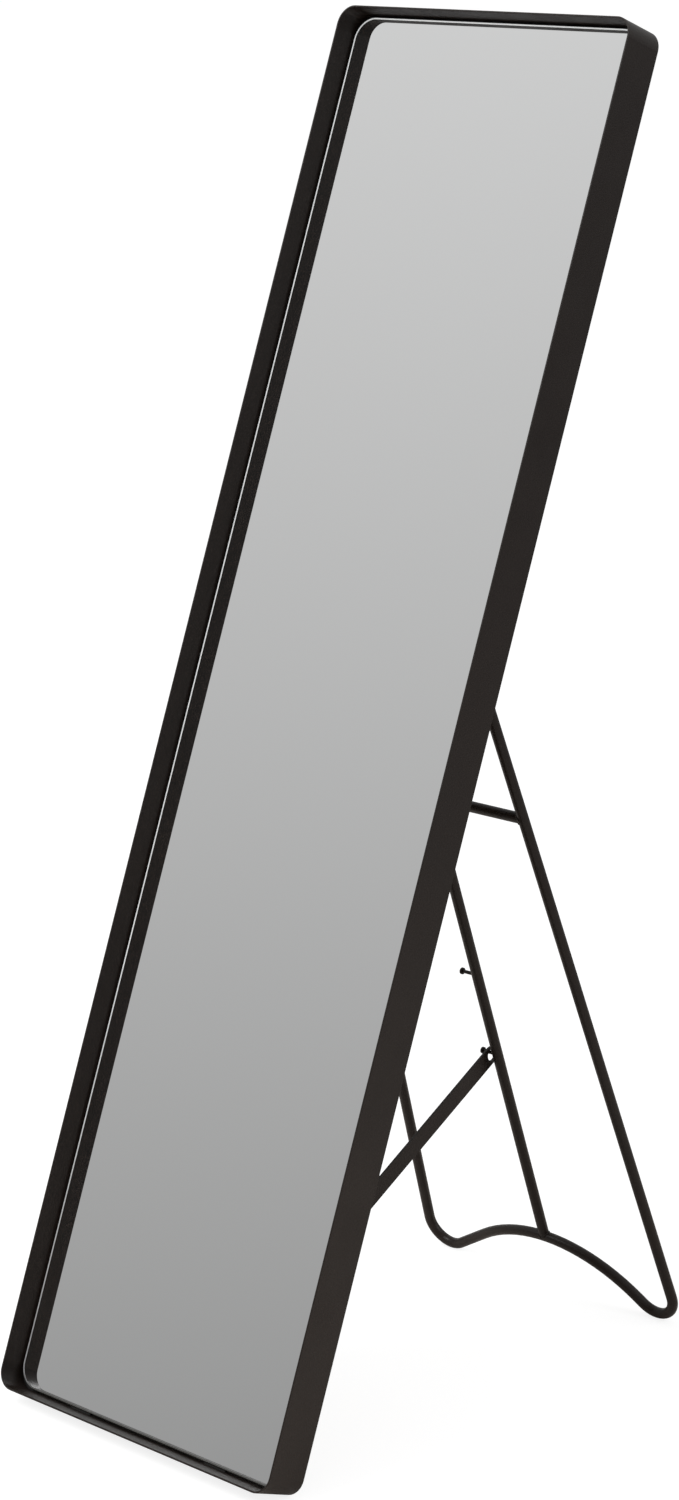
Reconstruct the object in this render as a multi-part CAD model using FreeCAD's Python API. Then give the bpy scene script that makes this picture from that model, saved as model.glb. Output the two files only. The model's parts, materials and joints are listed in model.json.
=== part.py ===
"""Free-standing leaning floor mirror: a deep flat-steel band frame with a recessed glass, a folding
easel stand of bent round rod behind it, and a flat strap that hooks over a stud on the stand.

Millimetres, +Z up. The origin is on the floor, on the mirror's centre line, midway between the frame's
front bottom edge and the stand's feet. The mirror faces -Y.

Mirror pieces are drawn on an upright mirror: X across, Y out of its back (0 at the band's back edge) and
Z up from its bottom. Stand pieces are drawn on an upright stand: X across, Y out of its back and Z up
from the floor line. Each is then leaned into place.
"""
import FreeCAD, Part
import math
import os

V = FreeCAD.Vector

# Frame band, one rolled flat bar
MIRROR_HEIGHT = 1500.0
MIRROR_WIDTH = 400.0
BAND_DEPTH = 50.0
BAND_WALL = 2.0
CORNER_RADIUS = 20.0
BAND_EDGE_FILLET = 0.5

# How the two halves stand
LEAN = 20.3             # mirror from the vertical, degrees
STAND_TILT = 19.5       # stand from the vertical, degrees

# Glass and what backs it, from the front of the band
GLASS_RECESS = 26.0
GLASS_THICKNESS = 4.0
GLASS_EDGE_GAP = 2.0    # glass edge to the band's inner wall
GLASS_CORNER_RADIUS = 25.0
GLASS_BEVEL = 1.0
TAPE_THICKNESS = 1.0
TAPE_WIDTH = 20.0
TAPE_END_GAP = 60.0
TAPE_ROWS = 3
TAPE_ROW_SPACING = 140.0
BOARD_THICKNESS = 5.0
BOARD_EDGE_GAP = 0.3
SETTING_BLOCK_LENGTH = 30.0
SETTING_BLOCK_X = 100.0
SETTING_BLOCK_SET_BACK = 2.2    # behind the front of the glass

# Tabs on the band's inner wall that hold the board, and their screws
TAB_SHEET = 2.0
TAB_WIDTH = 25.0
TAB_REACH = 16.0
TAB_WALL_LEG = 8.0
LOW_TAB_HEIGHT = 200.0
MIDDLE_TAB_HEIGHT = 640.0
HIGH_TAB_BELOW_TOP = 200.0
TOP_TAB_X = 100.0
SCREW_DIAMETER = 3.5
SCREW_HOLE_CLEARANCE = 0.1
SCREW_DEPTH_IN_BOARD = 4.0
SCREW_HEAD_DIAMETER = 7.0
SCREW_HEAD_HEIGHT = 2.0
SCREW_CROSS_LENGTH = 4.0
SCREW_CROSS_WIDTH = 1.0
SCREW_CROSS_DEPTH = 1.2

# Cross rails, flat bars between the band's side walls
RAIL_WIDTH = 30.0
RAIL_THICKNESS = 3.0
RAIL_BEHIND_BOARD = 2.0

# Brace strap, flat bar
STRAP_WIDTH = 20.0
STRAP_THICKNESS = 3.0
STRAP_EDGE_FILLET = 0.4
EYE_DIAMETER = 13.2
STRAP_BEHIND_RAIL = 2.0
STRAP_TO_CENTRE_ROD = 4.3

# Lower cross pin and what slides on it
PIN_HEIGHT = 22.4       # pin axis above the mirror's bottom
PIN_DIAMETER = 8.0
PIN_LUG_X = 45.0        # lug's inner face from the centre line
PIN_LUG_THICKNESS = 3.0
PIN_LUG_RIM = 4.0
PIN_OVERHANG = 3.0
PIN_CAP_THICKNESS = 2.0
PIN_CAP_RIM = 2.5
STATIC_CLEARANCE = 0.05
RUNNING_CLEARANCE = 0.08
SLEEVE_X = 18.0         # strap's foot from the centre line
SLEEVE_WALL = 2.0
SLEEVE_FLANGE = 2.0
SLEEVE_FLANGE_RIM = 4.0
SLEEVE_SIDE_GAP = 0.9
SLEEVE_END = 1.0
SLEEVE_RING_RIM = 3.0

# Stand, bent round rod
ROD_DIAMETER = 12.0
ROD_CLEAR_OF_STRAP = 1.0
HINGE_HEIGHT = 880.3    # hinge axis above the mirror's bottom
HINGE_X = 117.3         # side rods at the hinge, from the centre line
FLOOR_X = 184.1         # side rods run on to this far from the centre line at the floor
FOOT_RADIUS = 27.7
ARCH_RADIUS = 190.0
ARCH_HEIGHT = 65.5      # arch's top above the floor line, along the stand
CENTRE_ROD_X = 4.3
CROSSBAR_BELOW_HINGE = 223.0

# Headed studs on the centre rod
UPPER_STUD_BELOW_HINGE = 449.0
LOWER_STUD_BELOW_HINGE = 554.0
STUD_DIAMETER = 4.0
STUD_LENGTH = 14.3      # rod's surface to the head
STUD_HEAD_DIAMETER = 7.6
STUD_HEAD_HEIGHT = 2.0
STUD_IN_EYE_CLEARANCE = 0.4

# Hinge: an eye on each side rod between the ears of a bracket, on a bolt
HINGE_EYE_THICKNESS = 5.0
HINGE_EYE_WIDTH = 16.0
HINGE_EYE_LENGTH = 14.0
HINGE_EAR_THICKNESS = 3.0
HINGE_EAR_GAP = 0.5
HINGE_EAR_WIDTH = 18.0
HINGE_BASE_THICKNESS = 3.0
HINGE_BASE_WIDTH = 26.0
BOLT_DIAMETER = 6.0
BOLT_HOLE_CLEARANCE = 0.1
BOLT_HEAD_FLATS = 10.0
BOLT_HEAD_HEIGHT = 4.0
BOLT_END = 1.5
NUT_HEIGHT = 5.0
WASHER_DIAMETER = 12.0
WASHER_THICKNESS = 1.0

# Worked out from the sizes above
ROD_RADIUS = ROD_DIAMETER / 2
INNER_X = MIRROR_WIDTH / 2 - BAND_WALL
INNER_TOP = MIRROR_HEIGHT - BAND_WALL
INNER_RADIUS = CORNER_RADIUS - BAND_WALL
GLASS_FRONT = GLASS_RECESS - BAND_DEPTH
GLASS_BACK = GLASS_FRONT + GLASS_THICKNESS
BOARD_FRONT = GLASS_BACK + TAPE_THICKNESS
BOARD_BACK = BOARD_FRONT + BOARD_THICKNESS
TAB_BACK = BOARD_BACK + TAB_SHEET
RAIL_FRONT = BOARD_BACK + RAIL_BEHIND_BOARD
RAIL_BACK = RAIL_FRONT + RAIL_THICKNESS
PIN_Y = RAIL_BACK + STRAP_BEHIND_RAIL + STRAP_WIDTH / 2
HINGE_Y = PIN_Y + STRAP_WIDTH / 2 + ROD_CLEAR_OF_STRAP + ROD_RADIUS
SLEEVE_RADIUS = PIN_DIAMETER / 2 + RUNNING_CLEARANCE + SLEEVE_WALL

LEAN_RAD = math.radians(LEAN)
TILT_RAD = math.radians(STAND_TILT)
HINGE_FLOOR_HEIGHT = HINGE_HEIGHT * math.cos(LEAN_RAD) - HINGE_Y * math.sin(LEAN_RAD)
HINGE_FLOOR_Y = HINGE_HEIGHT * math.sin(LEAN_RAD) + HINGE_Y * math.cos(LEAN_RAD)
STAND_LENGTH = HINGE_FLOOR_HEIGHT / math.cos(TILT_RAD)
STAND_FLOOR_Y = HINGE_FLOOR_Y + STAND_LENGTH * math.sin(TILT_RAD)
FOOT_LOWEST = ROD_RADIUS / math.cos(TILT_RAD)
FRONT_EDGE_Y = -BAND_DEPTH * math.cos(LEAN_RAD)
FEET_BACK_Y = STAND_FLOOR_Y - FOOT_LOWEST * math.sin(TILT_RAD) + ROD_RADIUS
MIDDLE_Y = (FRONT_EDGE_Y + FEET_BACK_Y) / 2


def box(x0, x1, y0, y1, z0, z1):
    return Part.makeBox(x1 - x0, y1 - y0, z1 - z0, V(x0, y0, z0))


def rod_along_x(radius, x0, x1, y, z):
    return Part.makeCylinder(radius, x1 - x0, V(x0, y, z), V(1, 0, 0))


def ring_along_x(outer, inner, x0, x1, y, z):
    return rod_along_x(outer, x0, x1, y, z).cut(rod_along_x(inner, x0, x1, y, z))


def hexagon_along_x(flats, x0, x1, y, z):
    corner = flats / math.sqrt(3)
    points = []
    for turn in range(7):
        angle = math.radians(60 * turn)
        points.append(V(x0, y + corner * math.cos(angle), z + corner * math.sin(angle)))
    return Part.Face(Part.makePolygon(points)).extrude(V(x1 - x0, 0, 0))


def rounded_plate(half_width, z0, z1, radius, y0, y1):
    """A rounded rectangle across X and Z, from y0 to y1."""
    plate = box(-half_width, half_width, y0, y1, z0, z1)
    corners = []
    for edge in plate.Edges:
        ends = [vertex.Point for vertex in edge.Vertexes]
        if abs(ends[0].y - ends[1].y) > (y1 - y0) / 2:
            corners.append(edge)
    return plate.makeFillet(radius, corners)


def outline_edges(shape, y):
    """The edges that lie flat on one y."""
    found = []
    for edge in shape.Edges:
        if abs(edge.BoundBox.YMin - y) < 1e-6 and abs(edge.BoundBox.YMax - y) < 1e-6:
            found.append(edge)
    return found


def save(name, solids, place):
    """Lean the solids of one node into place and write them."""
    placed = [place(solid) for solid in solids]
    shape = placed[0] if len(placed) == 1 else Part.makeCompound(placed)
    shape.exportStep("parts/" + name + ".step")
    print(name, len(shape.Solids), "solid(s)", shape.isValid())


def on_mirror(shape):
    moved = shape.copy()
    moved.rotate(V(0, 0, 0), V(1, 0, 0), -LEAN)
    moved.translate(V(0, -MIDDLE_Y, 0))
    return moved


def on_stand(shape):
    moved = shape.copy()
    moved.rotate(V(0, 0, 0), V(1, 0, 0), STAND_TILT)
    moved.translate(V(0, STAND_FLOOR_Y - MIDDLE_Y, 0))
    return moved


# Frame and glass

def frame_band():
    outer = rounded_plate(MIRROR_WIDTH / 2, 0, MIRROR_HEIGHT, CORNER_RADIUS, -BAND_DEPTH, 0)
    inner = rounded_plate(INNER_X, BAND_WALL, INNER_TOP, INNER_RADIUS, -BAND_DEPTH, 0)
    band = outer.cut(inner)
    rims = outline_edges(band, -BAND_DEPTH) + outline_edges(band, 0)
    return band.makeFillet(BAND_EDGE_FILLET, rims)


def mirror_glass():
    gap = GLASS_EDGE_GAP
    glass = rounded_plate(INNER_X - gap, BAND_WALL + gap, INNER_TOP - gap, GLASS_CORNER_RADIUS,
                          GLASS_FRONT, GLASS_BACK)
    return glass.makeChamfer(GLASS_BEVEL, outline_edges(glass, GLASS_FRONT))


def glass_tape():
    strips = []
    for row in range(TAPE_ROWS):
        x = (row - (TAPE_ROWS - 1) / 2) * TAPE_ROW_SPACING
        strips.append(box(x - TAPE_WIDTH / 2, x + TAPE_WIDTH / 2, GLASS_BACK, BOARD_FRONT,
                          TAPE_END_GAP, MIRROR_HEIGHT - TAPE_END_GAP))
    return strips


def setting_blocks():
    blocks = []
    for x in (-SETTING_BLOCK_X, SETTING_BLOCK_X):
        blocks.append(box(x - SETTING_BLOCK_LENGTH / 2, x + SETTING_BLOCK_LENGTH / 2,
                          GLASS_FRONT + SETTING_BLOCK_SET_BACK, GLASS_BACK,
                          BAND_WALL, BAND_WALL + GLASS_EDGE_GAP))
    return blocks


def screw_places():
    """Where each tab's screw goes, and the way from the band's wall to it."""
    reach = TAB_REACH / 2
    places = []
    for height in (LOW_TAB_HEIGHT, MIDDLE_TAB_HEIGHT, MIRROR_HEIGHT - HIGH_TAB_BELOW_TOP):
        for side in (-1, 1):
            places.append((V(side * (INNER_X - reach), 0, height), V(-side, 0, 0)))
    for side in (-1, 1):
        places.append((V(side * TOP_TAB_X, 0, INNER_TOP - reach), V(0, 0, -1)))
    return places


def backing_board():
    gap = BOARD_EDGE_GAP
    board = rounded_plate(INNER_X - gap, BAND_WALL + gap, INNER_TOP - gap, INNER_RADIUS - gap,
                          BOARD_FRONT, BOARD_BACK)
    for place, _ in screw_places():
        start = V(place.x, BOARD_BACK - SCREW_DEPTH_IN_BOARD - SCREW_HOLE_CLEARANCE, place.z)
        hole = Part.makeCylinder(SCREW_DIAMETER / 2 + SCREW_HOLE_CLEARANCE, BOARD_THICKNESS, start,
                                 V(0, 1, 0))
        board = board.cut(hole)
    return board


def board_tabs():
    """Small angles: one leg on the band's wall, the other over the board's back, with a screw hole."""
    tabs = []
    for place, inward in screw_places():
        wall = place - inward * (TAB_REACH / 2)
        across = V(inward.z, 0, inward.x)
        flat_leg = tab_leg(wall, inward, across, TAB_REACH, BOARD_BACK, TAB_BACK)
        wall_leg = tab_leg(wall, inward, across, TAB_SHEET, BOARD_BACK, TAB_BACK + TAB_WALL_LEG)
        hole = Part.makeCylinder(SCREW_DIAMETER / 2 + SCREW_HOLE_CLEARANCE, TAB_SHEET,
                                 V(place.x, BOARD_BACK, place.z), V(0, 1, 0))
        tabs.append(flat_leg.fuse(wall_leg).removeSplitter().cut(hole))
    return tabs


def tab_leg(wall, inward, across, reach, y0, y1):
    first = wall - across * (TAB_WIDTH / 2)
    last = wall + across * (TAB_WIDTH / 2) + inward * reach
    return box(min(first.x, last.x), max(first.x, last.x), y0, y1, min(first.z, last.z), max(first.z, last.z))


def screw_cross(place):
    """The cross recess in a screw's head."""
    top = TAB_BACK + SCREW_HEAD_HEIGHT
    arms = []
    for half_x, half_z in ((SCREW_CROSS_LENGTH / 2, SCREW_CROSS_WIDTH / 2),
                           (SCREW_CROSS_WIDTH / 2, SCREW_CROSS_LENGTH / 2)):
        arms.append(box(place.x - half_x, place.x + half_x, top - SCREW_CROSS_DEPTH, top,
                        place.z - half_z, place.z + half_z))
    return arms[0].fuse(arms[1])


def board_screws():
    screws = []
    for place, _ in screw_places():
        head = Part.makeCylinder(SCREW_HEAD_DIAMETER / 2, SCREW_HEAD_HEIGHT, V(place.x, TAB_BACK, place.z),
                                 V(0, 1, 0))
        head = head.makeFillet(SCREW_HEAD_HEIGHT / 2, outline_edges(head, TAB_BACK + SCREW_HEAD_HEIGHT))
        shank_start = V(place.x, BOARD_BACK - SCREW_DEPTH_IN_BOARD, place.z)
        shank = Part.makeCylinder(SCREW_DIAMETER / 2, SCREW_DEPTH_IN_BOARD + TAB_SHEET, shank_start,
                                  V(0, 1, 0))
        screws.append(head.fuse(shank).cut(screw_cross(place)))
    return screws


# Rails, hinge brackets and the lower pin

def rail(height):
    """A flat bar from side wall to side wall, its ends cut to the band's inner corners."""
    bar = box(-INNER_X, INNER_X, RAIL_FRONT, RAIL_BACK, height - RAIL_WIDTH / 2, height + RAIL_WIDTH / 2)
    return bar.common(rounded_plate(INNER_X, BAND_WALL, INNER_TOP, INNER_RADIUS, RAIL_FRONT, RAIL_BACK))


def ear(x0, x1, half_width, y, z):
    """A plate across X from the rail's back to a rounded end around an axis at y, z."""
    flat = box(x0, x1, RAIL_BACK, y, z - half_width, z + half_width)
    return flat.fuse(rod_along_x(half_width, x0, x1, y, z))


def hinge_bracket(side):
    centre = side * HINGE_X
    inner = HINGE_EYE_THICKNESS / 2 + HINGE_EAR_GAP
    outer = inner + HINGE_EAR_THICKNESS
    bracket = box(centre - outer, centre + outer, RAIL_BACK, RAIL_BACK + HINGE_BASE_THICKNESS,
                  HINGE_HEIGHT - HINGE_BASE_WIDTH / 2, HINGE_HEIGHT + HINGE_BASE_WIDTH / 2)
    for x0, x1 in ((-outer, -inner), (inner, outer)):
        bracket = bracket.fuse(ear(centre + x0, centre + x1, HINGE_EAR_WIDTH / 2, HINGE_Y, HINGE_HEIGHT))
    hole = rod_along_x(BOLT_DIAMETER / 2 + BOLT_HOLE_CLEARANCE, centre - outer, centre + outer,
                       HINGE_Y, HINGE_HEIGHT)
    return bracket.removeSplitter().cut(hole)


def along_bolt(side, start, end):
    """A stretch along a hinge bolt, counted outwards from the eye's middle, as rising x."""
    ends = (side * (HINGE_X + start), side * (HINGE_X + end))
    return min(ends), max(ends)


def ear_face():
    return HINGE_EYE_THICKNESS / 2 + HINGE_EAR_GAP + HINGE_EAR_THICKNESS


def hinge_bolts():
    bolts = []
    under_head = ear_face() + WASHER_THICKNESS
    for side in (-1, 1):
        x0, x1 = along_bolt(side, -under_head - NUT_HEIGHT - BOLT_END, under_head)
        shank = rod_along_x(BOLT_DIAMETER / 2, x0, x1, HINGE_Y, HINGE_HEIGHT)
        x0, x1 = along_bolt(side, under_head, under_head + BOLT_HEAD_HEIGHT)
        head = hexagon_along_x(BOLT_HEAD_FLATS, x0, x1, HINGE_Y, HINGE_HEIGHT)
        bolts.append(shank.fuse(head))
    return bolts


def hinge_washers():
    washers = []
    for side in (-1, 1):
        for end in (-1, 1):
            x0, x1 = along_bolt(side, end * ear_face(), end * (ear_face() + WASHER_THICKNESS))
            washers.append(ring_along_x(WASHER_DIAMETER / 2, BOLT_DIAMETER / 2 + BOLT_HOLE_CLEARANCE, x0, x1,
                                        HINGE_Y, HINGE_HEIGHT))
    return washers


def hinge_nuts():
    nuts = []
    face = ear_face() + WASHER_THICKNESS
    for side in (-1, 1):
        x0, x1 = along_bolt(side, -face - NUT_HEIGHT, -face)
        nut = hexagon_along_x(BOLT_HEAD_FLATS, x0, x1, HINGE_Y, HINGE_HEIGHT)
        nuts.append(nut.cut(rod_along_x(BOLT_DIAMETER / 2 + STATIC_CLEARANCE, x0, x1, HINGE_Y, HINGE_HEIGHT)))
    return nuts


def pin_lug(side):
    ends = (side * PIN_LUG_X, side * (PIN_LUG_X + PIN_LUG_THICKNESS))
    x0, x1 = min(ends), max(ends)
    lug = ear(x0, x1, PIN_DIAMETER / 2 + PIN_LUG_RIM, PIN_Y, PIN_HEIGHT)
    return lug.cut(rod_along_x(PIN_DIAMETER / 2 + STATIC_CLEARANCE, x0, x1, PIN_Y, PIN_HEIGHT))


def lower_pin():
    end = PIN_LUG_X + PIN_LUG_THICKNESS + PIN_OVERHANG
    return rod_along_x(PIN_DIAMETER / 2, -end, end, PIN_Y, PIN_HEIGHT)


def pin_caps():
    start = PIN_LUG_X + PIN_LUG_THICKNESS
    caps = []
    for x0 in (-start - PIN_CAP_THICKNESS, start):
        caps.append(ring_along_x(PIN_DIAMETER / 2 + PIN_CAP_RIM, PIN_DIAMETER / 2 + STATIC_CLEARANCE,
                                 x0, x0 + PIN_CAP_THICKNESS, PIN_Y, PIN_HEIGHT))
    return caps


# Stand

def side_rod_x(height):
    """Where a side rod's straight stretch is at a height along the stand."""
    return FLOOR_X + (HINGE_X - FLOOR_X) * height / STAND_LENGTH


def foot_centre():
    """Centre of the foot bend, tangent to the side rod and with the rod's skin on the floor."""
    slant = math.hypot(STAND_LENGTH, FLOOR_X - HINGE_X)
    out_x = STAND_LENGTH / slant
    out_z = (FLOOR_X - HINGE_X) / slant
    z = FOOT_LOWEST + FOOT_RADIUS
    x = (out_x * FLOOR_X - FOOT_RADIUS - out_z * z) / out_x
    return x, z, math.atan2(out_z, out_x)


def arch_slope(run):
    """Slope of the straight stretch between a foot bend and the arch, run apart across."""
    rise = foot_centre()[1] - (ARCH_HEIGHT - ARCH_RADIUS)
    return math.asin((ARCH_RADIUS + FOOT_RADIUS) / math.hypot(run, rise)) - math.atan2(rise, run)


def on_circle(x, z, radius, angle):
    return V(x + radius * math.cos(angle), 0, z + radius * math.sin(angle))


def half_path(side):
    """One side rod, its foot bend and the straight stretch up to the arch, from the top down."""
    x, z, out_angle = foot_centre()
    slope = arch_slope(x - side * CENTRE_ROD_X)
    leave_angle = -math.pi / 2 - slope
    points = [
        V(HINGE_X, 0, STAND_LENGTH),
        on_circle(x, z, FOOT_RADIUS, out_angle),
        on_circle(x, z, FOOT_RADIUS, (out_angle + leave_angle) / 2),
        on_circle(x, z, FOOT_RADIUS, leave_angle),
        on_circle(side * CENTRE_ROD_X, ARCH_HEIGHT - ARCH_RADIUS, ARCH_RADIUS, math.pi / 2 - slope),
    ]
    return [V(side * point.x, 0, point.z) for point in points]


def stand_loop():
    """One rod, bent: down a side, round a foot, over the arch, round the other foot and up."""
    right = half_path(1)
    left = half_path(-1)
    arch_top = V(CENTRE_ROD_X, 0, ARCH_HEIGHT)
    edges = [
        Part.LineSegment(right[0], right[1]).toShape(),
        Part.Arc(right[1], right[2], right[3]).toShape(),
        Part.LineSegment(right[3], right[4]).toShape(),
        Part.Arc(right[4], arch_top, left[4]).toShape(),
        Part.LineSegment(left[4], left[3]).toShape(),
        Part.Arc(left[3], left[2], left[1]).toShape(),
        Part.LineSegment(left[1], left[0]).toShape(),
    ]
    circle = Part.Wire(Part.makeCircle(ROD_RADIUS, right[0], right[1] - right[0]))
    tube = Part.Wire(edges).makePipeShell([circle], True, False)
    reach = HINGE_X + ROD_DIAMETER
    above_eye_joint = box(-reach, reach, -ROD_DIAMETER, ROD_DIAMETER,
                          STAND_LENGTH - HINGE_EYE_LENGTH, STAND_LENGTH + ROD_DIAMETER)
    return tube.cut(above_eye_joint)


def stand_eye(side):
    """Flat eye plate welded on a side rod's end."""
    half = HINGE_EYE_THICKNESS / 2
    centre = side * HINGE_X
    plate = box(centre - half, centre + half, -HINGE_EYE_WIDTH / 2, HINGE_EYE_WIDTH / 2,
                STAND_LENGTH - HINGE_EYE_LENGTH, STAND_LENGTH)
    plate = plate.fuse(rod_along_x(HINGE_EYE_WIDTH / 2, centre - half, centre + half, 0, STAND_LENGTH))
    return plate.cut(rod_along_x(BOLT_DIAMETER / 2 + RUNNING_CLEARANCE, centre - half, centre + half,
                                 0, STAND_LENGTH))


def crossbar(loop):
    height = STAND_LENGTH - CROSSBAR_BELOW_HINGE
    reach = side_rod_x(height)
    return rod_along_x(ROD_RADIUS, -reach, reach, 0, height).cut(loop)


def centre_rod(loop, bar):
    length = STAND_LENGTH - CROSSBAR_BELOW_HINGE - ARCH_HEIGHT
    rod = Part.makeCylinder(ROD_RADIUS, length, V(CENTRE_ROD_X, 0, ARCH_HEIGHT))
    return rod.cut(loop).cut(bar)


def stud(below_hinge, rod):
    """Headed stud standing out sideways from the centre rod."""
    height = STAND_LENGTH - below_hinge
    under_head = CENTRE_ROD_X - ROD_RADIUS - STUD_LENGTH
    shank = rod_along_x(STUD_DIAMETER / 2, under_head, CENTRE_ROD_X, 0, height)
    head = rod_along_x(STUD_HEAD_DIAMETER / 2, under_head - STUD_HEAD_HEIGHT, under_head, 0, height)
    return shank.cut(rod).fuse(head)


# Brace strap

def stud_on_mirror():
    """The lower stud's axis in the mirror's own directions, as y and z."""
    height = STAND_LENGTH - LOWER_STUD_BELOW_HINGE
    y = STAND_FLOOR_Y - height * math.sin(TILT_RAD)
    z = height * math.cos(TILT_RAD)
    return (y * math.cos(LEAN_RAD) - z * math.sin(LEAN_RAD), y * math.sin(LEAN_RAD) + z * math.cos(LEAN_RAD))


def eye_centre():
    """The eye hangs on the stud: its centre is below the stud, square to the strap."""
    hang = EYE_DIAMETER / 2 - STUD_DIAMETER / 2 - STUD_IN_EYE_CLEARANCE
    stud_y, stud_z = stud_on_mirror()
    span = math.hypot(stud_y - PIN_Y, stud_z - PIN_HEIGHT)
    angle = math.atan2(stud_z - PIN_HEIGHT, stud_y - PIN_Y) - math.asin(hang / span)
    length = math.sqrt(span ** 2 - hang ** 2)
    x = CENTRE_ROD_X - ROD_RADIUS - STRAP_TO_CENTRE_ROD - STRAP_THICKNESS / 2
    return V(x, PIN_Y + length * math.cos(angle), PIN_HEIGHT + length * math.sin(angle))


def brace_strap():
    foot = V(SLEEVE_X, PIN_Y, PIN_HEIGHT)
    along = eye_centre() - foot
    half = STRAP_WIDTH / 2
    thickness = V(STRAP_THICKNESS, 0, 0)
    outline = [
        Part.LineSegment(V(0, -half, 0), V(0, -half, along.Length)).toShape(),
        Part.Arc(V(0, -half, along.Length), V(0, 0, along.Length + half), V(0, half, along.Length)).toShape(),
        Part.LineSegment(V(0, half, along.Length), V(0, half, 0)).toShape(),
        Part.Arc(V(0, half, 0), V(0, 0, -half), V(0, -half, 0)).toShape(),
    ]
    strap = Part.Face(Part.Wire(outline)).extrude(thickness)
    rims = [edge for edge in strap.Edges if edge.BoundBox.XLength < STRAP_THICKNESS / 2]
    strap = strap.makeFillet(STRAP_EDGE_FILLET, rims)
    strap.translate(thickness * -0.5)
    eye = Part.makeCylinder(EYE_DIAMETER / 2, STRAP_THICKNESS, V(-STRAP_THICKNESS / 2, 0, along.Length),
                            V(1, 0, 0))
    strap = strap.cut(eye)
    strap.Placement = FreeCAD.Placement(foot, FreeCAD.Rotation(V(1, 0, 0), V(0, 1, 0), along, "ZXY"))
    hole = rod_along_x(SLEEVE_RADIUS + RUNNING_CLEARANCE, foot.x - STRAP_THICKNESS, foot.x + STRAP_THICKNESS,
                       PIN_Y, PIN_HEIGHT)
    return strap.cut(hole)


def strap_sleeve():
    """Flanged bush that slides on the pin and carries the strap's foot."""
    bore = PIN_DIAMETER / 2 + RUNNING_CLEARANCE
    face = STRAP_THICKNESS / 2 + SLEEVE_SIDE_GAP
    end = SLEEVE_X + face + SLEEVE_FLANGE + SLEEVE_END
    tube = rod_along_x(SLEEVE_RADIUS, SLEEVE_X - face, end, PIN_Y, PIN_HEIGHT)
    flange = rod_along_x(SLEEVE_RADIUS + SLEEVE_FLANGE_RIM, SLEEVE_X - face - SLEEVE_FLANGE, SLEEVE_X - face,
                         PIN_Y, PIN_HEIGHT)
    return tube.fuse(flange).cut(rod_along_x(bore, SLEEVE_X - face - SLEEVE_FLANGE, end, PIN_Y, PIN_HEIGHT))


def sleeve_ring():
    """Ring pressed on the sleeve that keeps the strap on it."""
    face = STRAP_THICKNESS / 2 + SLEEVE_SIDE_GAP
    return ring_along_x(SLEEVE_RADIUS + SLEEVE_RING_RIM, SLEEVE_RADIUS + STATIC_CLEARANCE,
                        SLEEVE_X + face, SLEEVE_X + face + SLEEVE_FLANGE, PIN_Y, PIN_HEIGHT)


def save_mirror():
    save("frame_band", [frame_band()], on_mirror)
    save("mirror_glass", [mirror_glass()], on_mirror)
    save("glass_tape", glass_tape(), on_mirror)
    save("setting_blocks", setting_blocks(), on_mirror)
    save("backing_board", [backing_board()], on_mirror)
    save("board_tabs", board_tabs(), on_mirror)
    save("board_screws", board_screws(), on_mirror)
    save("hinge_rail", [rail(HINGE_HEIGHT)], on_mirror)
    save("lower_rail", [rail(PIN_HEIGHT)], on_mirror)
    save("hinge_bracket_left", [hinge_bracket(-1)], on_mirror)
    save("hinge_bracket_right", [hinge_bracket(1)], on_mirror)
    save("hinge_bolts", hinge_bolts(), on_mirror)
    save("hinge_washers", hinge_washers(), on_mirror)
    save("hinge_nuts", hinge_nuts(), on_mirror)
    save("pin_lug_left", [pin_lug(-1)], on_mirror)
    save("pin_lug_right", [pin_lug(1)], on_mirror)
    save("lower_pin", [lower_pin()], on_mirror)
    save("pin_caps", pin_caps(), on_mirror)


def save_stand():
    loop = stand_loop()
    bar = crossbar(loop)
    rod = centre_rod(loop, bar)
    save("stand_loop", [loop], on_stand)
    save("crossbar", [bar], on_stand)
    save("centre_rod", [rod], on_stand)
    save("stand_eye_left", [stand_eye(-1)], on_stand)
    save("stand_eye_right", [stand_eye(1)], on_stand)
    save("upper_stud", [stud(UPPER_STUD_BELOW_HINGE, rod)], on_stand)
    save("lower_stud", [stud(LOWER_STUD_BELOW_HINGE, rod)], on_stand)


def save_strap():
    save("brace_strap", [brace_strap()], on_mirror)
    save("strap_sleeve", [strap_sleeve()], on_mirror)
    save("sleeve_ring", [sleeve_ring()], on_mirror)


def print_places():
    """The joint axes and where the mirror rests, in the finished part's frame."""
    eye = eye_centre()
    foot = V(SLEEVE_X, PIN_Y, PIN_HEIGHT)
    for name, point in (("hinge", V(0, HINGE_Y, HINGE_HEIGHT)), ("strap foot", foot), ("eye", eye),
                        ("bottom face", V(0, -BAND_DEPTH / 2, 0))):
        placed = on_mirror(Part.Vertex(point)).Point
        print(name, [round(value, 4) for value in placed])
    print("strap from the mirror's back, degrees", math.degrees(math.atan2(eye.y - foot.y, eye.z - foot.z)))
    print("strap hole to hole", (eye - foot).Length, "stand length", STAND_LENGTH)


os.makedirs("parts", exist_ok=True)
save_mirror()
save_stand()
save_strap()
print_places()
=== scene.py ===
"""Looks of a leaning floor mirror: its camera, studio, materials, weld beads and glass edge.

Everything is in metres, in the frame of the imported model: +Z up, the mirror faces -Y. Pieces of the
mirror are placed in the leaning mirror's own directions: X across, Y out of its back, Z up from its bottom
back edge. Pieces of the stand are placed in the leaning stand's: X across, Y out of its back, Z up from
the floor.
"""
import json
import math

import bpy
from mathutils import Matrix, Vector


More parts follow.
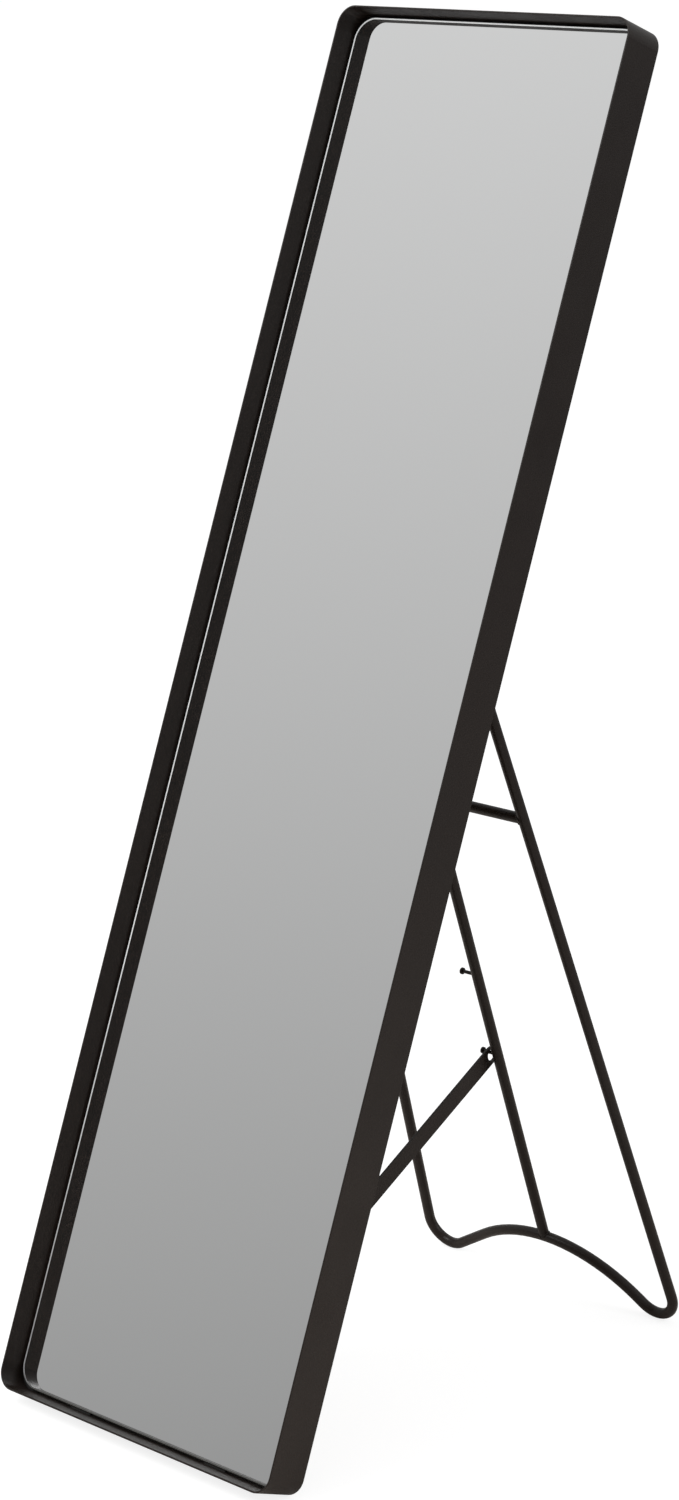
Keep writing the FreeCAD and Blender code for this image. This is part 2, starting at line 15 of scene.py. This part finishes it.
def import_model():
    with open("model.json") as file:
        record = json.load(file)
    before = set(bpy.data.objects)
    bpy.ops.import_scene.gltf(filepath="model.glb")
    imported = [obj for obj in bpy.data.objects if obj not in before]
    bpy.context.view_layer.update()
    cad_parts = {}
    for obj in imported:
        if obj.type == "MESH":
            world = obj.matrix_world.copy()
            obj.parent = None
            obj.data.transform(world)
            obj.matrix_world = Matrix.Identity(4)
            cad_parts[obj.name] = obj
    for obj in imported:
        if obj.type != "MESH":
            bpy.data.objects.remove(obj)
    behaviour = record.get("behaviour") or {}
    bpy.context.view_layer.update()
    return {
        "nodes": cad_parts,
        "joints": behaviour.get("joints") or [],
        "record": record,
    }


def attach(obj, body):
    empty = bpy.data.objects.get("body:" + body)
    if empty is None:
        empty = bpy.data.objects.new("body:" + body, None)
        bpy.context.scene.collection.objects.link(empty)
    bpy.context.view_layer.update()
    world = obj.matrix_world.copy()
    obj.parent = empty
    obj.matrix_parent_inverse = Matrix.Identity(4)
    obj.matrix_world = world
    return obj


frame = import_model()

# How the photograph was taken
CAMERA_PLACE = (2.6141, -2.72118, 1.5953)
CAMERA_TURN = math.radians(44.08)
CAMERA_DOWN = math.radians(13.65)
CAMERA_CLIP_END = 200.0
FOCAL_PIXELS = 3755.0
PHOTO_HEIGHT_PIXELS = 1500
SENSOR = 36.0           # in millimetres, as lenses are

# The object's two planes
LEAN = math.radians(20.3)
STAND_TILT = math.radians(19.5)
HINGE_BEHIND = 0.020
HINGE_UP = 0.8803

# Sizes that the small pieces fit
MIRROR_WIDTH = 0.400
MIRROR_HEIGHT = 1.500
BAND_DEPTH = 0.050
BAND_WALL = 0.002
INNER_X = MIRROR_WIDTH / 2 - BAND_WALL
INNER_RADIUS = 0.018    # the band's inside corners
GLASS_RECESS = 0.026
GLASS_EDGE_GAP = 0.002
GLASS_CORNER_RADIUS = 0.025
GLASS_BEVEL = 0.001
ROD_RADIUS = 0.006
HINGE_X = 0.1173
FLOOR_X = 0.1841
CENTRE_ROD_X = 0.0043
CROSSBAR_BELOW_HINGE = 0.223
ARCH_HEIGHT = 0.0655
STUDS_BELOW_HINGE = {"upper": 0.449, "lower": 0.554}
STUD_RADIUS = 0.002
EYE_BELOW_HINGE = 0.014
EYE_PLATE_WIDTH = 0.016
EYE_PLATE_THICKNESS = 0.005
RAIL_WIDTH = 0.030
RAIL_BACK = -0.009
RAIL_HEIGHTS = {"hinge": HINGE_UP, "lower": 0.0224}
BRACKET_HALF_WIDTH = 0.006
BRACKET_BASE_WIDTH = 0.026
LUG_X = 0.045
LUG_THICKNESS = 0.003
LUG_HALF_WIDTH = 0.008
SIDES = {"left": -1, "right": 1}

# Weld beads
BEAD_RADIUS = 0.0012
STUD_BEAD_RADIUS = 0.6 * BEAD_RADIUS
LUG_BEAD_RADIUS = 0.8 * BEAD_RADIUS
BEAD_STEP = 0.0018      # from one ripple to the next
BEAD_RIPPLE = 0.07      # how much a ripple swells the bead
RINGS_PER_RIPPLE = 6
TAPER_START = 0.25      # an open end's share of the full radius,
TAPER_RINGS = 5         # which it reaches over this many rings
TUBE_SIDES = 10
SADDLE_STEPS = 48
OVAL_STEPS = 32
RAIL_WELD_STEPS = 16

# The line of the glass's ground edge, which glows with painted light and has painted shade at its foot
GLASS_LINE_WIDTH = 0.0015
GLASS_LINE_STAND = 0.00012
GLASS_LINE_PAINTED_SHADE_DARKEST = 0.014     # height above the floor up to which the line is darkest with painted shade,
GLASS_LINE_PAINTED_SHADE_HALF = 0.030     # where that painted shade has eased to a mid grey,
GLASS_LINE_PAINTED_GLOW_FULL = 0.45     # and where the line's painted glow is at full brightness
CORNER_STEPS = 10

# Studio
FLOOR_HALF = 60.0
FLOOR_NEAR = (0.84, 0.77, 0.71)     # what the floor gives back to the object, close by
FLOOR_FAR = (0.36, 0.365, 0.38)     # and from far off
FLOOR_NEAR_REACH = 0.6
FLOOR_FAR_REACH = 4.0
FLOOR_GLOW = 0.83       # what the eye is given of the floor's white whatever falls on it
FLOOR_SHADED = 0.30     # and what it is given by the light, which the shadow takes away
KEY_LIGHT = {"place": (-1.5, -3.5, 4.5), "size": 3.2, "power": 180.0}
FILL_LIGHT = {"place": (4.0, 1.5, 3.0), "size": 3.0, "power": 50.0}
LIGHTS_AIM = (0, 0, 0.7)
WORLD_FILL = 0.62       # the world's strength for all but what reflects it
SWEEP_AXIS = (-0.164, 0.504, 0.848)
SWEEP_LOW = 0.328
SWEEP_HIGH = 0.650
SWEEP_REACH = 0.19
WHITE = (1, 1, 1)

hinge = Vector(next(joint["pos_m"] for joint in frame["joints"] if joint["name"] == "stand_fold"))
MIRROR_TURN = Matrix.Rotation(-LEAN, 3, "X")
STAND_TURN = Matrix.Rotation(STAND_TILT, 3, "X")
MIRROR_FOOT = hinge - MIRROR_TURN @ Vector((0, HINGE_BEHIND, HINGE_UP))
STAND_LENGTH = hinge.z / math.cos(STAND_TILT)
STAND_FOOT = hinge - STAND_TURN @ Vector((0, 0, STAND_LENGTH))


def on_mirror(x, y, z):
    return MIRROR_FOOT + MIRROR_TURN @ Vector((x, y, z))


def on_stand(x, y, z):
    return STAND_FOOT + STAND_TURN @ Vector((x, y, z))


# Shader helpers

def new_material(name, **sockets):
    """A material with one Principled shader, and values written on the shader's own sockets."""
    material = bpy.data.materials.new(name)
    material.use_nodes = True
    shader = material.node_tree.nodes["Principled BSDF"]
    for socket, value in sockets.items():
        shader.inputs[socket.replace("_", " ")].default_value = value
    return material, material.node_tree, shader


def node(tree, kind, **values):
    """A shader node with its inputs (capitalised names) and its properties set by name."""
    made = tree.nodes.new("ShaderNode" + kind)
    for name, value in values.items():
        if name[0].isupper():
            made.inputs[name.replace("_", " ")].default_value = value
        else:
            setattr(made, name, value)
    return made


def object_coordinates(tree):
    return node(tree, "TexCoord").outputs["Object"]


def object_noise(tree, scale, detail=3.0, roughness=0.5, stretch=(1, 1, 1)):
    """Noise fixed to the object, as one value from 0 to 1; scale is in waves per metre."""
    mapping = node(tree, "Mapping", Scale=stretch)
    noise = node(tree, "TexNoise", Scale=scale, Detail=detail, Roughness=roughness)
    tree.links.new(object_coordinates(tree), mapping.inputs["Vector"])
    tree.links.new(mapping.outputs["Vector"], noise.inputs["Vector"])
    return noise.outputs["Fac"]


def spread(tree, value, low, high, start=0.3, end=0.7):
    """value, which runs from start to end, made to run from low to high."""
    change = node(tree, "MapRange", From_Min=start, From_Max=end, To_Min=low, To_Max=high)
    tree.links.new(value, change.inputs["Value"])
    return change.outputs["Result"]


def between(tree, value, first, second):
    """A colour from first to second as value goes from 0 to 1."""
    ramp = node(tree, "ValToRGB")
    ramp.color_ramp.elements[0].color = (*first, 1)
    ramp.color_ramp.elements[1].color = (*second, 1)
    tree.links.new(value, ramp.inputs["Fac"])
    return ramp.outputs["Color"]


def mixed(tree, share, first, second):
    """Two colour outputs mixed by a share, which is a plain number or another node's output."""
    mix = node(tree, "Mix", data_type="RGBA")
    if isinstance(share, float):
        mix.inputs["Factor"].default_value = share
    else:
        tree.links.new(share, mix.inputs["Factor"])
    first_colour, second_colour = [socket for socket in mix.inputs if socket.type == "RGBA"]
    tree.links.new(first, first_colour)
    tree.links.new(second, second_colour)
    return next(socket for socket in mix.outputs if socket.type == "RGBA")


def bumped(tree, shader, height, distance, strength=1.0):
    bump = node(tree, "Bump", Distance=distance, Strength=strength)
    tree.links.new(height, bump.inputs["Height"])
    tree.links.new(bump.outputs["Normal"], shader.inputs["Normal"])


def edge_mask(tree, radius):
    """1 on the solid's sharp edges and corners, 0 elsewhere."""
    rounded = node(tree, "Bevel", samples=4, Radius=radius)
    geometry = node(tree, "NewGeometry")
    dot = node(tree, "VectorMath", operation="DOT_PRODUCT")
    tree.links.new(rounded.outputs["Normal"], dot.inputs[0])
    tree.links.new(geometry.outputs["Normal"], dot.inputs[1])
    return spread(tree, dot.outputs["Value"], 1.0, 0.0, start=0.80, end=0.97)


def facing_back(tree):
    """1 on faces that look out of the mirror's back, 0 on the others."""
    geometry = node(tree, "NewGeometry")
    dot = node(tree, "VectorMath", operation="DOT_PRODUCT")
    dot.inputs[1].default_value = MIRROR_TURN @ Vector((0, 1, 0))
    tree.links.new(geometry.outputs["Normal"], dot.inputs[0])
    return spread(tree, dot.outputs["Value"], 0.0, 1.0, start=0.5, end=0.6)


# Materials, one function each

def powder_coat():
    """Satin black powder coat: orange peel, fine speckle, a brown cast, edges rubbed a little paler."""
    material, tree, shader = new_material("powder_coat", Specular_IOR_Level=0.22)
    cloud = spread(tree, object_noise(tree, scale=7.0, detail=4.0), 0.0, 1.0)
    tone = between(tree, cloud, (0.0100, 0.0068, 0.0053), (0.0145, 0.0098, 0.0076))
    speckle = spread(tree, object_noise(tree, scale=1900.0, detail=2.0), 0.0, 1.0, start=0.40, end=0.66)
    fleck = between(tree, speckle, (0.0070, 0.0050, 0.0042), (0.0290, 0.0215, 0.0180))
    coat = mixed(tree, 0.45, tone, fleck)
    rub = spread(tree, object_noise(tree, scale=260.0, detail=4.0), 0.0, 1.0)
    rubbed = between(tree, rub, (0.012, 0.009, 0.008), (0.040, 0.033, 0.029))
    worn = mixed(tree, edge_mask(tree, radius=0.0004), coat, rubbed)
    tree.links.new(worn, shader.inputs["Base Color"])
    smear = spread(tree, object_noise(tree, scale=24.0, detail=5.0), 0.33, 0.45)
    tree.links.new(smear, shader.inputs["Roughness"])
    peel = object_noise(tree, scale=520.0, detail=3.0, roughness=0.6)
    bumped(tree, shader, peel, distance=0.00035, strength=0.6)
    return material


def mirror():
    """Silvered glass: clean, with the faintest unevenness in how sharply it reflects."""
    material, tree, shader = new_material("mirror", Metallic=1.0)
    tint = between(tree, object_noise(tree, scale=3.0), (0.925, 0.930, 0.930), (0.935, 0.940, 0.938))
    tree.links.new(tint, shader.inputs["Base Color"])
    haze = spread(tree, object_noise(tree, scale=18.0, detail=5.0), 0.0, 0.012)
    tree.links.new(haze, shader.inputs["Roughness"])
    return material


def glass_edge_painted_glow():
    """The glass's ground edge: a pale line that glows with painted light, brightening from painted shade at
    its foot to its full glow higher up.
    """
    # The emission is a painted glow on a line that is no lamp.
    material, tree, shader = new_material("glass_edge_painted_glow", Roughness=0.3, Emission_Strength=0.36)
    grind = object_noise(tree, scale=120.0)
    # Tones of the line: full painted glow, painted shade eased to a mid grey, and darkest painted shade
    # near the floor.
    clear = between(tree, grind, (0.76, 0.78, 0.78), (0.90, 0.92, 0.92))
    painted_shade_half = between(tree, grind, (0.24, 0.24, 0.25), (0.36, 0.36, 0.37))
    painted_shade_dark = between(tree, grind, (0.055, 0.055, 0.052), (0.085, 0.085, 0.080))
    place = node(tree, "SeparateXYZ")
    tree.links.new(object_coordinates(tree), place.inputs["Vector"])
    height = place.outputs["Z"]
    # Painted shade: the line is darkest near the floor and brightens up the glass to its full painted glow.
    rising_from_painted_shade = spread(tree, height, 0.0, 1.0, start=GLASS_LINE_PAINTED_SHADE_DARKEST, end=GLASS_LINE_PAINTED_SHADE_HALF)
    rising_to_painted_glow = spread(tree, height, 0.0, 1.0, start=GLASS_LINE_PAINTED_SHADE_HALF, end=GLASS_LINE_PAINTED_GLOW_FULL)
    tone = mixed(tree, rising_from_painted_shade, painted_shade_dark, mixed(tree, rising_to_painted_glow, painted_shade_half, clear))
    tree.links.new(tone, shader.inputs["Base Color"])
    tree.links.new(tone, shader.inputs["Emission Color"])
    bumped(tree, shader, object_noise(tree, scale=2500.0), distance=0.00003, strength=0.5)
    return material


def zinc():
    """Bright zinc plate, drawn along its length."""
    material, tree, shader = new_material("zinc", Metallic=1.0)
    tone = between(tree, object_noise(tree, scale=90.0, detail=4.0), (0.50, 0.50, 0.50), (0.66, 0.66, 0.64))
    tree.links.new(tone, shader.inputs["Base Color"])
    lines = object_noise(tree, scale=1500.0, detail=3.0, roughness=0.6, stretch=(0.05, 1, 1))
    tree.links.new(spread(tree, lines, 0.22, 0.42), shader.inputs["Roughness"])
    bumped(tree, shader, lines, distance=0.00002, strength=0.5)
    return material


def grained(name, roughness, scale, first, second, grain_scale, grain_depth, grain_strength):
    """A plain stuff whose tone wanders from first to second, with a fine grain in its surface."""
    material, tree, shader = new_material(name, Roughness=roughness)
    tone = between(tree, object_noise(tree, scale), first, second)
    tree.links.new(tone, shader.inputs["Base Color"])
    bumped(tree, shader, object_noise(tree, grain_scale), grain_depth, grain_strength)
    return material


def black_plastic():
    """Moulded plastic with a fine spark grain."""
    return grained("black_plastic", roughness=0.5, scale=300.0,
                   first=(0.012, 0.012, 0.013), second=(0.022, 0.022, 0.023),
                   grain_scale=3000.0, grain_depth=0.00004, grain_strength=0.6)


def rubber_block():
    """Dense black rubber."""
    return grained("rubber_block", roughness=0.8, scale=400.0,
                   first=(0.006, 0.006, 0.006), second=(0.013, 0.013, 0.012),
                   grain_scale=1800.0, grain_depth=0.00008, grain_strength=0.7)


def foam_tape():
    """Closed-cell foam tape."""
    return grained("foam_tape", roughness=0.9, scale=700.0,
                   first=(0.62, 0.62, 0.60), second=(0.78, 0.78, 0.76),
                   grain_scale=1500.0, grain_depth=0.0002, grain_strength=0.7)


def board():
    """Hardboard: brown fibres pressed smooth, with darker flecks. Only its back is brown."""
    material, tree, shader = new_material("board", Roughness=0.62)
    fibres = object_noise(tree, scale=900.0, detail=6.0, roughness=0.75, stretch=(0.30, 1, 1))
    patches = object_noise(tree, scale=9.0, detail=4.0)
    flecks = object_noise(tree, scale=2600.0, detail=2.0)
    brown = between(tree, spread(tree, fibres, 0.0, 1.0), (0.088, 0.053, 0.031), (0.178, 0.115, 0.069))
    patchy = between(tree, spread(tree, patches, 0.0, 1.0), (0.104, 0.064, 0.038), (0.158, 0.102, 0.061))
    dark = between(tree, flecks, (0.045, 0.026, 0.015), (0.060, 0.036, 0.022))
    fleck_share = spread(tree, flecks, 0.0, 0.7, start=0.60, end=0.72)
    face = mixed(tree, fleck_share, mixed(tree, 0.45, brown, patchy), dark)
    black = between(tree, fibres, (0.008, 0.008, 0.008), (0.016, 0.015, 0.015))
    tree.links.new(mixed(tree, facing_back(tree), black, face), shader.inputs["Base Color"])
    bumped(tree, shader, fibres, distance=0.00015, strength=0.5)
    return material


MATERIALS = {
    "powder_coat": powder_coat(),
    "mirror": mirror(),
    "zinc": zinc(),
    "black_plastic": black_plastic(),
    "rubber_block": rubber_block(),
    "foam_tape": foam_tape(),
    "board": board(),
}


def finish_cad_nodes():
    for row in frame["record"]["subparts"]:
        cad = frame["nodes"][row["node"]]
        cad.data.materials.clear()
        cad.data.materials.append(MATERIALS[row["material_slot"]])


# Weld beads

def add_mesh(name, points, faces, material, smooth=True):
    mesh = bpy.data.meshes.new(name)
    mesh.from_pydata([tuple(point) for point in points], [], faces)
    mesh.update()
    mesh.materials.append(material)
    for polygon in mesh.polygons:
        polygon.use_smooth = smooth
    made = bpy.data.objects.new(name, mesh)
    bpy.context.scene.collection.objects.link(made)
    return made


def even_points(path, closed, step):
    """Points evenly spaced along a path of straight runs."""
    corners = path + [path[0]] if closed else path
    lengths = [(b - a).length for a, b in zip(corners, corners[1:])]
    count = max(4, round(sum(lengths) / step))
    spaced = []
    for index in range(count if closed else count + 1):
        left = sum(lengths) * index / count
        run = 0
        while run < len(lengths) - 1 and left > lengths[run]:
            left -= lengths[run]
            run += 1
        spaced.append(corners[run].lerp(corners[run + 1], min(1.0, left / lengths[run])))
    return spaced


def bead_swell(index, count, closed):
    """The share of a bead's radius at one of its rings: the ripples, and the taper to an open end."""
    swell = 1 + BEAD_RIPPLE * math.sin(2 * math.pi * index / RINGS_PER_RIPPLE)
    if closed:
        return swell
    from_end = min(index, count - 1 - index)
    return swell * min(1.0, TAPER_START + from_end / TAPER_RINGS)


def bead_points(centres, closed, radius):
    """Rings of points round a path, turned as little as possible from one to the next."""
    count = len(centres)
    side = (centres[1] - centres[0]).orthogonal().normalized()
    points = []
    for index, centre in enumerate(centres):
        ahead = centres[(index + 1) % count] if closed else centres[min(index + 1, count - 1)]
        behind = centres[index - 1] if closed or index else centre
        along = (ahead - behind).normalized()
        side = (side - along * side.dot(along)).normalized()
        other = along.cross(side)
        reach = radius * bead_swell(index, count, closed)
        for turn in range(TUBE_SIDES):
            angle = 2 * math.pi * turn / TUBE_SIDES
            points.append(centre + (side * math.cos(angle) + other * math.sin(angle)) * reach)
    return points


def bead_faces(count, closed):
    faces = []
    for ring in range(count if closed else count - 1):
        nearer = ring * TUBE_SIDES
        further = (ring + 1) % count * TUBE_SIDES
        for turn in range(TUBE_SIDES):
            beside = (turn + 1) % TUBE_SIDES
            faces.append((nearer + turn, nearer + beside, further + beside, further + turn))
    if not closed:
        faces.append(tuple(reversed(range(TUBE_SIDES))))
        faces.append(tuple(range((count - 1) * TUBE_SIDES, count * TUBE_SIDES)))
    return faces


def bead(name, path, body, closed=False, radius=BEAD_RADIUS):
    """A rippled tube along a path, as a weld bead under paint; open ends taper."""
    centres = even_points(path, closed, BEAD_STEP / RINGS_PER_RIPPLE)
    points = bead_points(centres, closed, radius)
    made = add_mesh(name, points, bead_faces(len(centres), closed), MATERIALS["powder_coat"])
    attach(made, body)


def saddle(place, axis, up, radius):
    """Where a rod or stud of one radius, along axis, runs out on the side of a stand rod along up.

    place is where the two axes cross.
    """
    side = axis.cross(up).normalized()
    path = []
    for turn in range(SADDLE_STEPS):
        angle = 2 * math.pi * turn / SADDLE_STEPS
        across = radius * math.cos(angle)
        out = math.sqrt(max(0.0, ROD_RADIUS ** 2 - across ** 2))
        path.append(place + axis * out + side * across + up * radius * math.sin(angle))
    return path


def oval(half_x, half_y):
    points = []
    for turn in range(OVAL_STEPS):
        angle = 2 * math.pi * turn / OVAL_STEPS
        points.append((half_x * math.cos(angle), half_y * math.sin(angle)))
    return points


def side_rod_x(height):
    """Where a side rod is at a height along the stand."""
    return FLOOR_X + (HINGE_X - FLOOR_X) * height / STAND_LENGTH


def crossbar_welds(height, across):
    for name, side in SIDES.items():
        rod_top = on_stand(side * HINGE_X, 0, STAND_LENGTH)
        rod_up = (rod_top - on_stand(side * FLOOR_X, 0, 0)).normalized()
        place = on_stand(side * side_rod_x(height), 0, height)
        path = saddle(place, -side * across, rod_up, ROD_RADIUS)
        bead("weld_crossbar_" + name, path, "stand", closed=True)


def eye_welds():
    outline = oval(EYE_PLATE_THICKNESS / 2 + BEAD_RADIUS, EYE_PLATE_WIDTH / 2 - BEAD_RADIUS)
    for name, side in SIDES.items():
        path = [on_stand(side * HINGE_X + x, y, STAND_LENGTH - EYE_BELOW_HINGE) for x, y in outline]
        bead("weld_eye_" + name, path, "stand", closed=True)


def centre_rod_welds(height, across, up):
    top = on_stand(CENTRE_ROD_X, 0, height)
    bottom = on_stand(CENTRE_ROD_X, 0, ARCH_HEIGHT)
    bead("weld_rod_top", saddle(top, -up, across, ROD_RADIUS), "stand", closed=True)
    bead("weld_rod_bottom", saddle(bottom, up, across, ROD_RADIUS), "stand", closed=True)
    for name, below in STUDS_BELOW_HINGE.items():
        place = on_stand(CENTRE_ROD_X, 0, STAND_LENGTH - below)
        path = saddle(place, -across, up, STUD_RADIUS)
        bead("weld_stud_" + name, path, "stand", closed=True, radius=STUD_BEAD_RADIUS)


def stand_welds():
    across = STAND_TURN @ Vector((1, 0, 0))
    up = STAND_TURN @ Vector((0, 0, 1))
    crossbar_height = STAND_LENGTH - CROSSBAR_BELOW_HINGE
    crossbar_welds(crossbar_height, across)
    eye_welds()
    centre_rod_welds(crossbar_height, across, up)


def wall_x(height):
    """Where the inside of the band's side wall is at a height, its bottom corner included."""
    below = max(0.0, BAND_WALL + INNER_RADIUS - height)
    return INNER_X - INNER_RADIUS + math.sqrt(INNER_RADIUS ** 2 - below ** 2)


def rail_welds():
    """Beads down the rails' ends, sunk a third of their radius into the band's wall."""
    half = RAIL_WIDTH / 2 - BEAD_RADIUS
    for name, height in RAIL_HEIGHTS.items():
        for end, side in SIDES.items():
            path = []
            for step in range(RAIL_WELD_STEPS + 1):
                z = height - half + 2 * half * step / RAIL_WELD_STEPS
                path.append(on_mirror(side * (wall_x(z) - BEAD_RADIUS / 3), RAIL_BACK, z))
            bead("weld_" + name + "_rail_" + end, path, "mirror")


def upright_weld(name, x, height, half, radius):
    """A straight bead up the back of a rail."""
    path = [on_mirror(x, RAIL_BACK, height - half), on_mirror(x, RAIL_BACK, height + half)]
    bead(name, path, "mirror", radius=radius)


def bracket_and_lug_welds():
    bracket_half = BRACKET_BASE_WIDTH / 2 - BEAD_RADIUS
    lug_half = LUG_HALF_WIDTH - BEAD_RADIUS
    for end, side in SIDES.items():
        for edge, out in (("in", -1), ("out", 1)):
            upright_weld("weld_bracket_" + end + "_" + edge, side * (HINGE_X + out * BRACKET_HALF_WIDTH),
                         RAIL_HEIGHTS["hinge"], bracket_half, BEAD_RADIUS)
            upright_weld("weld_lug_" + end + "_" + edge, side * (LUG_X + LUG_THICKNESS / 2 * (1 + out)),
                         RAIL_HEIGHTS["lower"], lug_half, LUG_BEAD_RADIUS)


# Glass edge, whose line glows with painted light

def rounded_outline(half_width, low, high, radius):
    """Points round an upright rounded rectangle, as x and z."""
    points = []
    corners = ((half_width - radius, high - radius, 0), (radius - half_width, high - radius, 1),
               (radius - half_width, low + radius, 2), (half_width - radius, low + radius, 3))
    for x, z, quarter in corners:
        for step in range(CORNER_STEPS + 1):
            angle = math.pi / 2 * (quarter + step / CORNER_STEPS)
            points.append((x + radius * math.cos(angle), z + radius * math.sin(angle)))
    return points


def glass_line_painted_glow():
    """The pale line of the ground edge, just inside the bevel all round the glass, glowing with painted
    light.
    """
    y = GLASS_RECESS - BAND_DEPTH - GLASS_LINE_STAND
    rings = []
    for shrink in (0.0, GLASS_LINE_WIDTH):
        inset = BAND_WALL + GLASS_EDGE_GAP + GLASS_BEVEL + shrink
        outline = rounded_outline(MIRROR_WIDTH / 2 - inset, inset, MIRROR_HEIGHT - inset,
                                  GLASS_CORNER_RADIUS - GLASS_BEVEL - shrink)
        rings.append([on_mirror(x, y, z) for x, z in outline])
    count = len(rings[0])
    faces = [(i, (i + 1) % count, count + (i + 1) % count, count + i) for i in range(count)]
    made = add_mesh("glass_edge_painted_glow_line", rings[0] + rings[1], faces, glass_edge_painted_glow(), smooth=False)
    thick = made.modifiers.new("thickness", "SOLIDIFY")
    thick.thickness = GLASS_LINE_STAND
    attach(made, "mirror")


# Studio and camera

def float_mix(tree, share, first, second):
    """Two plain values mixed by share; either may be a number or another node's output."""
    mix = node(tree, "Mix", data_type="FLOAT")
    tree.links.new(share, mix.inputs["Factor"])
    for name, value in (("A", first), ("B", second)):
        if isinstance(value, float):
            mix.inputs[name].default_value = value
        else:
            tree.links.new(value, mix.inputs[name])
    return mix.outputs["Result"]


def world():
    """White to the eye, and to anything that reflects it a grey sweep that pales along one axis."""
    made = bpy.data.worlds.new("studio")
    made.use_nodes = True
    tree = made.node_tree
    tree.nodes.clear()
    coords = node(tree, "TexCoord")
    along = node(tree, "VectorMath", operation="DOT_PRODUCT")
    along.inputs[1].default_value = SWEEP_AXIS
    tree.links.new(coords.outputs["Generated"], along.inputs[0])
    sweep = spread(tree, along.outputs["Value"], SWEEP_LOW, SWEEP_HIGH, start=-SWEEP_REACH, end=SWEEP_REACH)
    path = node(tree, "LightPath")
    unseen = float_mix(tree, path.outputs["Is Glossy Ray"], WORLD_FILL, sweep)
    strength = float_mix(tree, path.outputs["Is Camera Ray"], unseen, 1.0)
    background = node(tree, "Background", Color=(*WHITE, 1))
    tree.links.new(strength, background.inputs["Strength"])
    output = node(tree, "OutputWorld")
    tree.links.new(background.outputs["Background"], output.inputs["Surface"])
    bpy.context.scene.world = made


def floor_material():
    """White with a faint shadow to the eye; to the object a warm floor that dims far off."""
    material = bpy.data.materials.new("floor")
    material.use_nodes = True
    tree = material.node_tree
    tree.nodes.clear()
    away = node(tree, "VectorMath", operation="LENGTH")
    tree.links.new(object_coordinates(tree), away.inputs[0])
    fading = spread(tree, away.outputs["Value"], 0.0, 1.0, start=FLOOR_NEAR_REACH, end=FLOOR_FAR_REACH)
    lit = node(tree, "BsdfDiffuse")
    tree.links.new(between(tree, fading, FLOOR_NEAR, FLOOR_FAR), lit.inputs["Color"])
    shaded = node(tree, "BsdfDiffuse", Color=(FLOOR_SHADED, FLOOR_SHADED, FLOOR_SHADED, 1))
    white = node(tree, "Emission", Strength=FLOOR_GLOW)
    seen = node(tree, "AddShader")
    tree.links.new(shaded.outputs["BSDF"], seen.inputs[0])
    tree.links.new(white.outputs["Emission"], seen.inputs[1])
    path = node(tree, "LightPath")
    mix = node(tree, "MixShader")
    tree.links.new(path.outputs["Is Camera Ray"], mix.inputs["Fac"])
    tree.links.new(lit.outputs["BSDF"], mix.inputs[1])
    tree.links.new(seen.outputs["Shader"], mix.inputs[2])
    output = node(tree, "OutputMaterial")
    tree.links.new(mix.outputs["Shader"], output.inputs["Surface"])
    return material


def floor():
    corners = [Vector((x, y, 0)) * FLOOR_HALF for x, y in ((-1, -1), (1, -1), (1, 1), (-1, 1))]
    made = add_mesh("floor", corners, [(0, 1, 2, 3)], floor_material(), smooth=False)


def area_light(name, place, size, power):
    light = bpy.data.lights.new(name, "AREA")
    light.shape = "DISK"
    light.size = size
    light.energy = power
    made = bpy.data.objects.new(name, light)
    made.location = place
    aim = Vector(LIGHTS_AIM) - Vector(place)
    made.rotation_euler = aim.to_track_quat("-Z", "Y").to_euler()
    bpy.context.scene.collection.objects.link(made)


def camera():
    data = bpy.data.cameras.new("photo")
    data.sensor_width = SENSOR
    data.sensor_fit = "AUTO"
    data.lens = FOCAL_PIXELS / PHOTO_HEIGHT_PIXELS * SENSOR
    data.clip_end = CAMERA_CLIP_END
    made = bpy.data.objects.new("photo", data)
    made.location = CAMERA_PLACE
    made.rotation_euler = (math.pi / 2 - CAMERA_DOWN, 0, CAMERA_TURN)
    bpy.context.scene.collection.objects.link(made)
    bpy.context.scene.camera = made


finish_cad_nodes()
stand_welds()
rail_welds()
bracket_and_lug_welds()
glass_line_painted_glow()
world()
floor()
area_light("key", **KEY_LIGHT)
area_light("fill", **FILL_LIGHT)
camera()
bpy.context.scene.view_settings.view_transform = "Standard"
